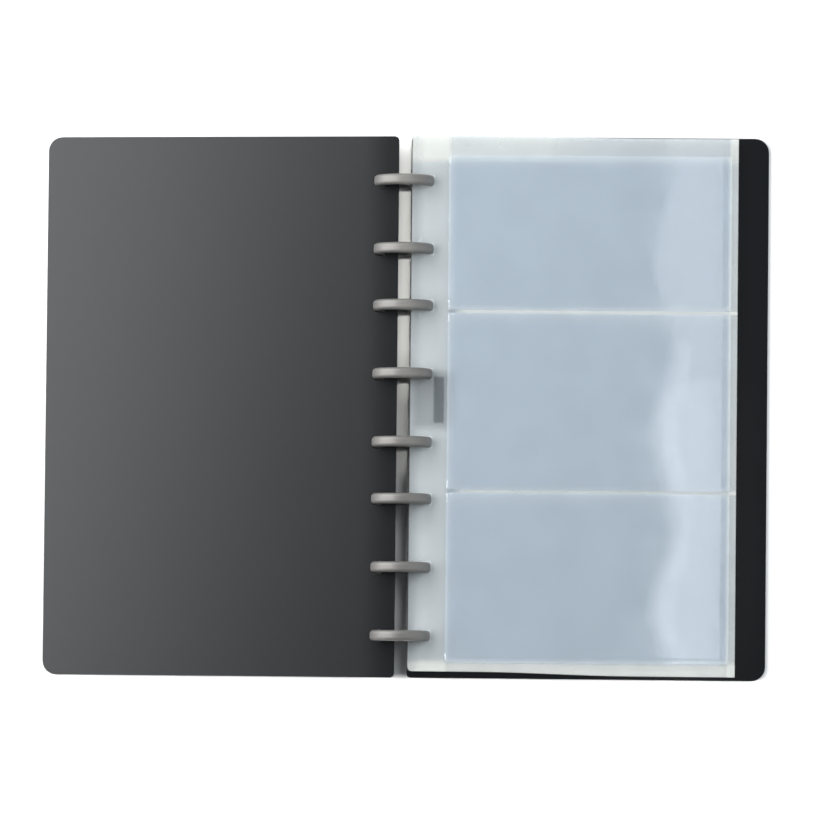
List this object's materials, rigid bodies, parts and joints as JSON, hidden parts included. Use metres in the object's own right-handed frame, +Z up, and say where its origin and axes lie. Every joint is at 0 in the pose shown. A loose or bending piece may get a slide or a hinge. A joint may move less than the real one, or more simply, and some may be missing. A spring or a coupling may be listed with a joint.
{
  "type": "disc-bound pocket album",
  "caption": "Open disc-bound album with semi-rigid covers and clear three-pocket sheets that turn on a row of metal discs.",
  "frame": {"origin": "on the table under the middle of the spine, with the album lying open", "axes": "+X across the open album towards the sheets and the back cover, +Y towards the head of the page, +Z up"},
  "size_m": [0.2842, 0.212, 0.0235],
  "materials": {
    "cover": "satin polypropylene",
    "disc": "satin",
    "backing_film": "clear film, slightly frosted",
    "pocket_film": "clear film"
  },
  "bodies": {
    "back_cover": {"back_cover": "cover"},
    "front_cover": {"front_cover": "cover"},
    "disc_1": {"disc_1": "disc"},
    "disc_2": {"disc_2": "disc"},
    "disc_3": {"disc_3": "disc"},
    "disc_4": {"disc_4": "disc"},
    "disc_5": {"disc_5": "disc"},
    "disc_6": {"disc_6": "disc"},
    "disc_7": {"disc_7": "disc"},
    "disc_8": {"disc_8": "disc"},
    "sheet_1": {"sheet_1_backing": "backing_film", "sheet_1_pocket_top": "pocket_film", "sheet_1_pocket_middle": "pocket_film", "sheet_1_pocket_bottom": "pocket_film"},
    "sheet_2": {"sheet_2_backing": "backing_film", "sheet_2_pocket_top": "pocket_film", "sheet_2_pocket_middle": "pocket_film", "sheet_2_pocket_bottom": "pocket_film"},
    "sheet_3": {"sheet_3_backing": "backing_film", "sheet_3_pocket_top": "pocket_film", "sheet_3_pocket_middle": "pocket_film", "sheet_3_pocket_bottom": "pocket_film"},
    "sheet_4": {"sheet_4_backing": "backing_film", "sheet_4_pocket_top": "pocket_film", "sheet_4_pocket_middle": "pocket_film", "sheet_4_pocket_bottom": "pocket_film"},
    "sheet_5": {"sheet_5_backing": "backing_film", "sheet_5_pocket_top": "pocket_film", "sheet_5_pocket_middle": "pocket_film", "sheet_5_pocket_bottom": "pocket_film"},
    "sheet_6": {"sheet_6_backing": "backing_film", "sheet_6_pocket_top": "pocket_film", "sheet_6_pocket_middle": "pocket_film", "sheet_6_pocket_bottom": "pocket_film"}
  },
  "joints": [
    {"name": "front_cover_swing", "type": "hinge", "parent": "back_cover", "child": "front_cover", "pos_m": [0, 0, 0.01175], "axis": [0, -1, 0], "range_deg": [-186.76, 0]},
    {"name": "sheet_1_turn", "type": "hinge", "parent": "back_cover", "child": "sheet_1", "pos_m": [0, 0, 0.01175], "axis": [0, -1, 0], "range_deg": [0, 186.76]},
    {"name": "sheet_2_turn", "type": "hinge", "parent": "back_cover", "child": "sheet_2", "pos_m": [0, 0, 0.01175], "axis": [0, -1, 0], "range_deg": [0, 186.76]},
    {"name": "sheet_3_turn", "type": "hinge", "parent": "back_cover", "child": "sheet_3", "pos_m": [0, 0, 0.01175], "axis": [0, -1, 0], "range_deg": [0, 186.76]},
    {"name": "sheet_4_turn", "type": "hinge", "parent": "back_cover", "child": "sheet_4", "pos_m": [0, 0, 0.01175], "axis": [0, -1, 0], "range_deg": [0, 186.76]},
    {"name": "sheet_5_turn", "type": "hinge", "parent": "back_cover", "child": "sheet_5", "pos_m": [0, 0, 0.01175], "axis": [0, -1, 0], "range_deg": [0, 186.76]},
    {"name": "sheet_6_turn", "type": "hinge", "parent": "back_cover", "child": "sheet_6", "pos_m": [0, 0, 0.01175], "axis": [0, -1, 0], "range_deg": [0, 186.76]},
    {"name": "disc_1_spin", "type": "hinge", "parent": "back_cover", "child": "disc_1", "pos_m": [0, 0.08825, 0.01175], "axis": [0, -1, 0], "continuous": true},
    {"name": "disc_2_spin", "type": "hinge", "parent": "back_cover", "child": "disc_2", "pos_m": [0, 0.06155, 0.01175], "axis": [0, -1, 0], "continuous": true},
    {"name": "disc_3_spin", "type": "hinge", "parent": "back_cover", "child": "disc_3", "pos_m": [0, 0.03935, 0.01175], "axis": [0, -1, 0], "continuous": true},
    {"name": "disc_4_spin", "type": "hinge", "parent": "back_cover", "child": "disc_4", "pos_m": [0, 0.01265, 0.01175], "axis": [0, -1, 0], "continuous": true},
    {"name": "disc_5_spin", "type": "hinge", "parent": "back_cover", "child": "disc_5", "pos_m": [0, -0.01405, 0.01175], "axis": [0, -1, 0], "continuous": true},
    {"name": "disc_6_spin", "type": "hinge", "parent": "back_cover", "child": "disc_6", "pos_m": [0, -0.03625, 0.01175], "axis": [0, -1, 0], "continuous": true},
    {"name": "disc_7_spin", "type": "hinge", "parent": "back_cover", "child": "disc_7", "pos_m": [0, -0.06295, 0.01175], "axis": [0, -1, 0], "continuous": true},
    {"name": "disc_8_spin", "type": "hinge", "parent": "back_cover", "child": "disc_8", "pos_m": [0, -0.08965, 0.01175], "axis": [0, -1, 0], "continuous": true}
  ]
}
